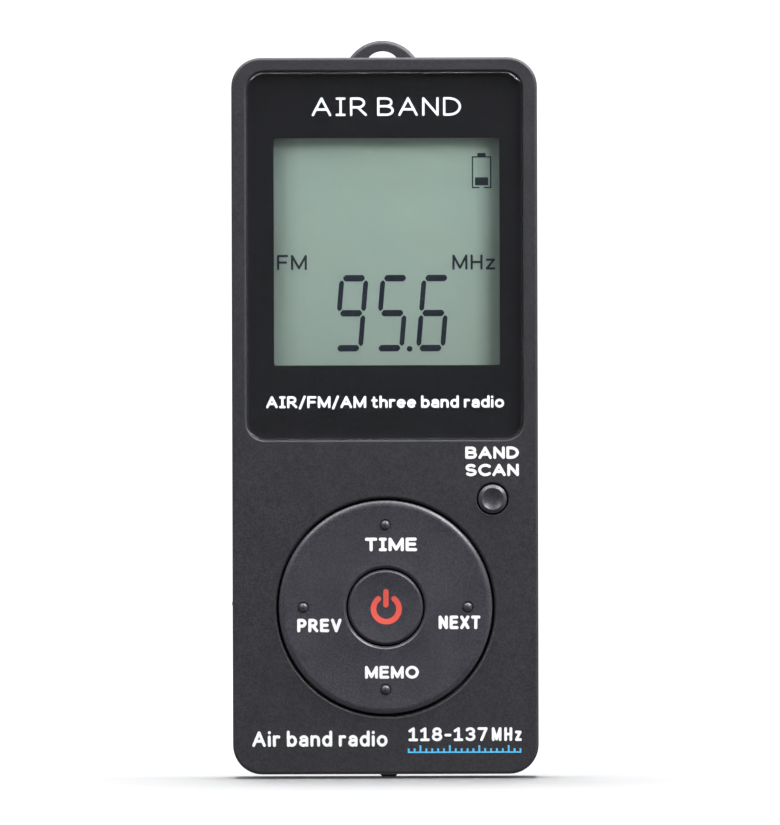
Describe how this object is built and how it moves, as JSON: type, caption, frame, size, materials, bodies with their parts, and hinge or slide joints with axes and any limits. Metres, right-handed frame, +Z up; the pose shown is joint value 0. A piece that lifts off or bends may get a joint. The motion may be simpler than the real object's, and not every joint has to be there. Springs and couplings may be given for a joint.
{
  "type": "handheld airband radio",
  "caption": "Pocket airband radio receiver with a large display, a four-way ring key round a power button, a lanyard loop and a rear battery door.",
  "frame": {"origin": "middle of the case's outline, on the surface that the upright radio stands on", "axes": "+Z up towards the lanyard loop, -Y out of the display, +X to the right as the display is read"},
  "size_m": [0.0421, 0.0197, 0.1015],
  "materials": {
    "case_plastic": "fine spark texture, charcoal",
    "key_plastic": "fine spark texture, charcoal",
    "lens_acrylic": "clear, hard coated",
    "black_print": "back printed, glossy",
    "adhesive_foam": "thin foam tape",
    "polariser_film": "grey-green, anti-glare",
    "lcd_glass": "clear glass over grey-green",
    "reflector_film": "pearl",
    "light_guide_acrylic": "clear",
    "led_resin": "pale yellow",
    "holder_plastic": "white",
    "zebra_rubber": "layered silicone",
    "board_laminate": "green solder mask",
    "chip_resin": "black",
    "crystal_can": "plated",
    "capacitor_sleeve": "dark blue",
    "ceramic_chip": "tan",
    "switch_metal": "plated",
    "plunger_plastic": "ivory",
    "ferrite": "sintered",
    "copper_wire": "enamelled copper",
    "grommet_rubber": "black",
    "jack_plastic": "black",
    "contact_brass": "gold plated",
    "speaker_steel": "zinc plated",
    "magnet_metal": "nickel plated",
    "cone_paper": "black coated",
    "gasket_foam": "foam",
    "grille_fabric": "black woven",
    "lead_insulation": "red and black",
    "cell_can": "nickel plated",
    "cell_jacket": "plain blue-grey film",
    "spring_wire": "nickel plated",
    "screw_steel": "zinc plated"
  },
  "bodies": {
    "case": {"front_shell": "case_plastic", "rear_shell": "case_plastic", "lanyard_loop": "case_plastic", "display_lens": "lens_acrylic", "lens_mask": "black_print", "lens_adhesive": "adhesive_foam", "lcd_polariser": "polariser_film", "lcd_panel": "lcd_glass", "lcd_reflector": "reflector_film", "light_guide": "light_guide_acrylic", "backlight_leds": "led_resin", "lcd_holder": "holder_plastic", "zebra_strip": "zebra_rubber", "main_pcb": "board_laminate", "tuner_chip": "chip_resin", "controller_chip": "chip_resin", "amplifier_chip": "chip_resin", "clock_crystal": "crystal_can", "electrolytic_capacitors": "capacitor_sleeve", "surface_mount_parts": "ceramic_chip", "time_switch": "switch_metal", "memo_switch": "switch_metal", "prev_switch": "switch_metal", "next_switch": "switch_metal", "power_switch": "switch_metal", "band_scan_switch": "switch_metal", "volume_up_switch": "switch_metal", "volume_down_switch": "switch_metal", "hold_switch": "switch_metal", "ferrite_rod": "ferrite", "antenna_coil": "copper_wire", "antenna_clips": "grommet_rubber", "earphone_jack": "jack_plastic", "jack_contacts": "contact_brass", "speaker_basket": "speaker_steel", "speaker_magnet": "magnet_metal", "speaker_cone": "cone_paper", "speaker_gasket": "gasket_foam", "grille_cloth": "grille_fabric", "speaker_leads": "lead_insulation", "cell_left": "cell_can", "cell_right": "cell_can", "cell_sleeves": "cell_jacket", "battery_springs": "spring_wire", "positive_contact": "spring_wire", "negative_contact": "spring_wire", "bridge_contact": "spring_wire", "case_screws": "screw_steel", "pcb_screws": "screw_steel"},
    "nav_cradle": {"nav_plungers_vertical": "plunger_plastic"},
    "nav_ring": {"nav_ring": "key_plastic", "nav_plungers_side": "plunger_plastic"},
    "power_button": {"power_button": "key_plastic", "power_plunger": "plunger_plastic"},
    "band_scan_button": {"band_scan_button": "key_plastic", "band_scan_plunger": "plunger_plastic"},
    "volume_rocker": {"volume_rocker": "key_plastic", "volume_plungers": "plunger_plastic"},
    "hold_knob": {"hold_knob": "key_plastic"},
    "battery_door": {"battery_door": "case_plastic"}
  },
  "joints": [
    {"name": "nav_rock_up_down", "type": "hinge", "parent": "case", "child": "nav_cradle", "pos_m": [0, -0.0062, 0.02353], "axis": [1, 0, 0], "range_deg": [-1.2, 1.2], "stiffness_Nm_per_rad": 0.8},
    {"name": "nav_rock_side", "type": "hinge", "parent": "nav_cradle", "child": "nav_ring", "pos_m": [0, -0.0062, 0.02353], "axis": [0, 0, 1], "range_deg": [-1.2, 1.2], "stiffness_Nm_per_rad": 0.8},
    {"name": "power_press", "type": "slide", "parent": "case", "child": "power_button", "axis": [0, 1, 0], "range_m": [0, 0.00025], "stiffness_N_per_m": 3000, "springref_m": -0.0002},
    {"name": "band_scan_press", "type": "slide", "parent": "case", "child": "band_scan_button", "axis": [0, 1, 0], "range_m": [0, 0.00025], "stiffness_N_per_m": 3000, "springref_m": -0.0002},
    {"name": "volume_rock", "type": "hinge", "parent": "case", "child": "volume_rocker", "pos_m": [0.0182, -0.0015, 0.06925], "axis": [0, 1, 0], "range_deg": [-2.5, 2.5], "stiffness_Nm_per_rad": 0.15},
    {"name": "hold_slide", "type": "slide", "parent": "case", "child": "hold_knob", "axis": [0, 0, 1], "range_m": [0, 0.002]},
    {"name": "battery_door_hinge", "type": "hinge", "parent": "case", "child": "battery_door", "pos_m": [0, 0.0094, 0.0563], "axis": [1, 0, 0], "range_deg": [0, 60]}
  ]
}
